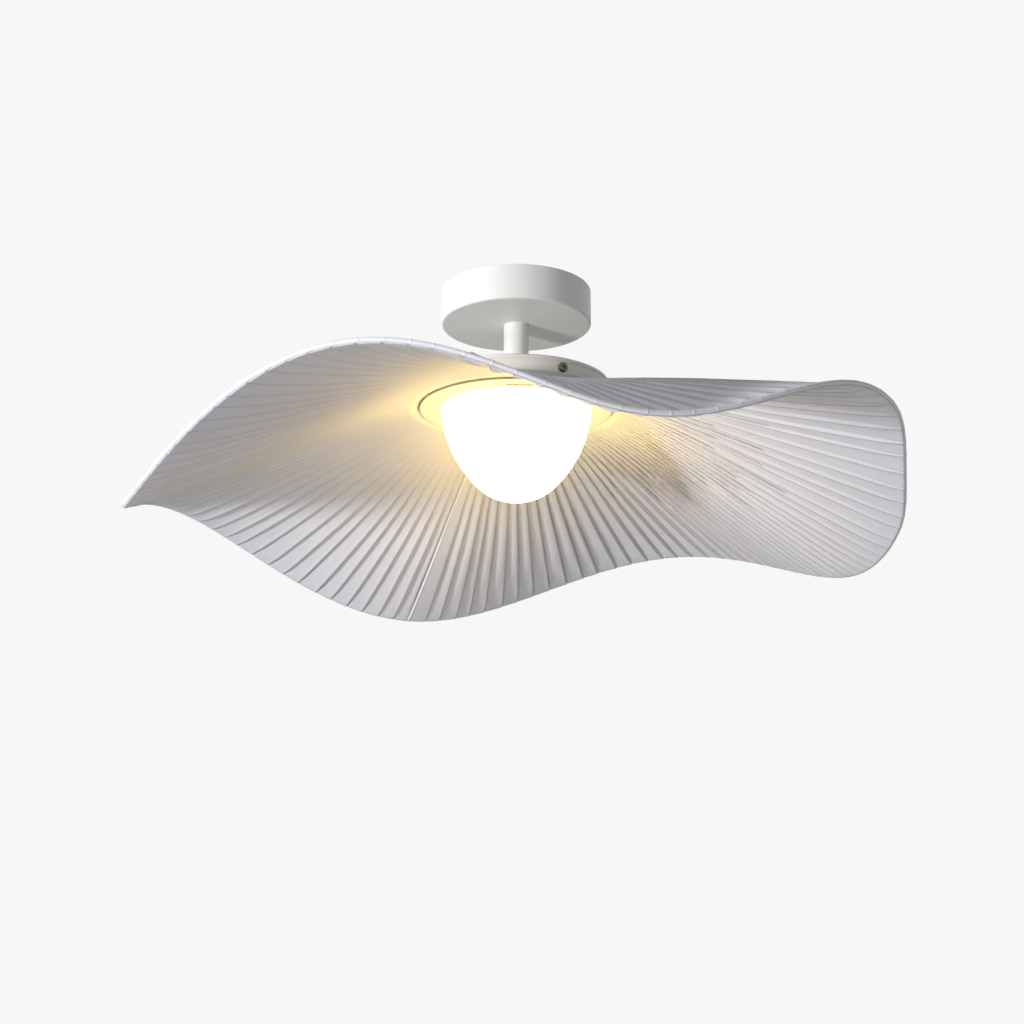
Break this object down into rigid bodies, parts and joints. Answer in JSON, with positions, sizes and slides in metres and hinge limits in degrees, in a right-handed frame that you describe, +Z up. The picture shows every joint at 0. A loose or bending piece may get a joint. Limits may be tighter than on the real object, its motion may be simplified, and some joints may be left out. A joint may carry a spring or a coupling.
{
  "type": "ceiling light",
  "caption": "Ceiling light with a short stem, an opal diffuser and a wide pleated cloth shade whose wired rim waves up and down.",
  "frame": {"origin": "centre of the plane where the canopy and its bracket meet the ceiling, on the stem's axis", "axes": "+Z up into the ceiling along the stem, -Y towards the side that the picture shows"},
  "size_m": [0.5948, 0.6081, 0.221],
  "materials": {
    "white_paint": "satin powder coat",
    "pan_paint": "warm white powder coat",
    "ring_lacquer": "dark bronze lacquer",
    "zinc_steel": "zinc plated",
    "dark_screw": "dark nickel plate",
    "flush_screw": "painted head",
    "brass": "plain",
    "terminal_plastic": "moulded",
    "bush_plastic": "moulded",
    "driver_plastic": "moulded, fine grain",
    "foam_tape": "foam",
    "board_mask": "white solder mask",
    "led_phosphor": "phosphor gel",
    "connector_plastic": "moulded",
    "opal_glass": "matte opal, lit",
    "seal_silicone": "silicone",
    "ring_plastic": "moulded",
    "insulation_brown": "insulation",
    "insulation_blue": "insulation",
    "insulation_green": "insulation",
    "insulation_red": "insulation",
    "insulation_black": "insulation",
    "shade_cloth": "fine plain weave, knife pleats",
    "binding_cloth": "folded strip",
    "shade_wire": "white coated wire"
  },
  "bodies": {
    "base": {"canopy": "white_paint", "canopy_side_screws": "flush_screw", "mounting_bracket": "zinc_steel", "terminal_block": "terminal_plastic", "terminal_screws": "brass", "block_screw": "zinc_steel", "earth_screw": "zinc_steel", "threaded_rod": "zinc_steel", "rod_bushes": "bush_plastic", "upper_washer": "zinc_steel", "upper_nut": "zinc_steel", "stem_tube": "white_paint", "lower_washer": "zinc_steel", "lower_nut": "zinc_steel", "body_pan": "pan_paint", "side_screws": "dark_screw", "base_tray": "pan_paint", "board_spacers": "brass", "led_board": "board_mask", "led_chips": "led_phosphor", "board_connector": "connector_plastic", "board_screws": "zinc_steel", "led_driver": "driver_plastic", "driver_tape": "foam_tape", "wire_live": "insulation_brown", "wire_neutral": "insulation_blue", "wire_earth": "insulation_green", "wire_led_plus": "insulation_red", "wire_led_minus": "insulation_black"},
    "shade": {"shade_inner_ring": "ring_lacquer", "shade_ribs": "shade_wire", "shade_rim_wire": "shade_wire", "shade_rim_binding": "binding_cloth", "shade_fabric": "shade_cloth"},
    "diffuser": {"diffuser_glass": "opal_glass", "glass_seal": "seal_silicone", "diffuser_ring": "ring_plastic"}
  },
  "joints": [
    {"name": "shade_turn", "type": "hinge", "parent": "base", "child": "shade", "pos_m": [0, 0, -0.0976], "axis": [0, 0, 1], "continuous": true},
    {"name": "diffuser_twist", "type": "hinge", "parent": "base", "child": "diffuser", "pos_m": [0, 0, -0.0976], "axis": [0, 0, -1], "range_deg": [0, 27]}
  ]
}
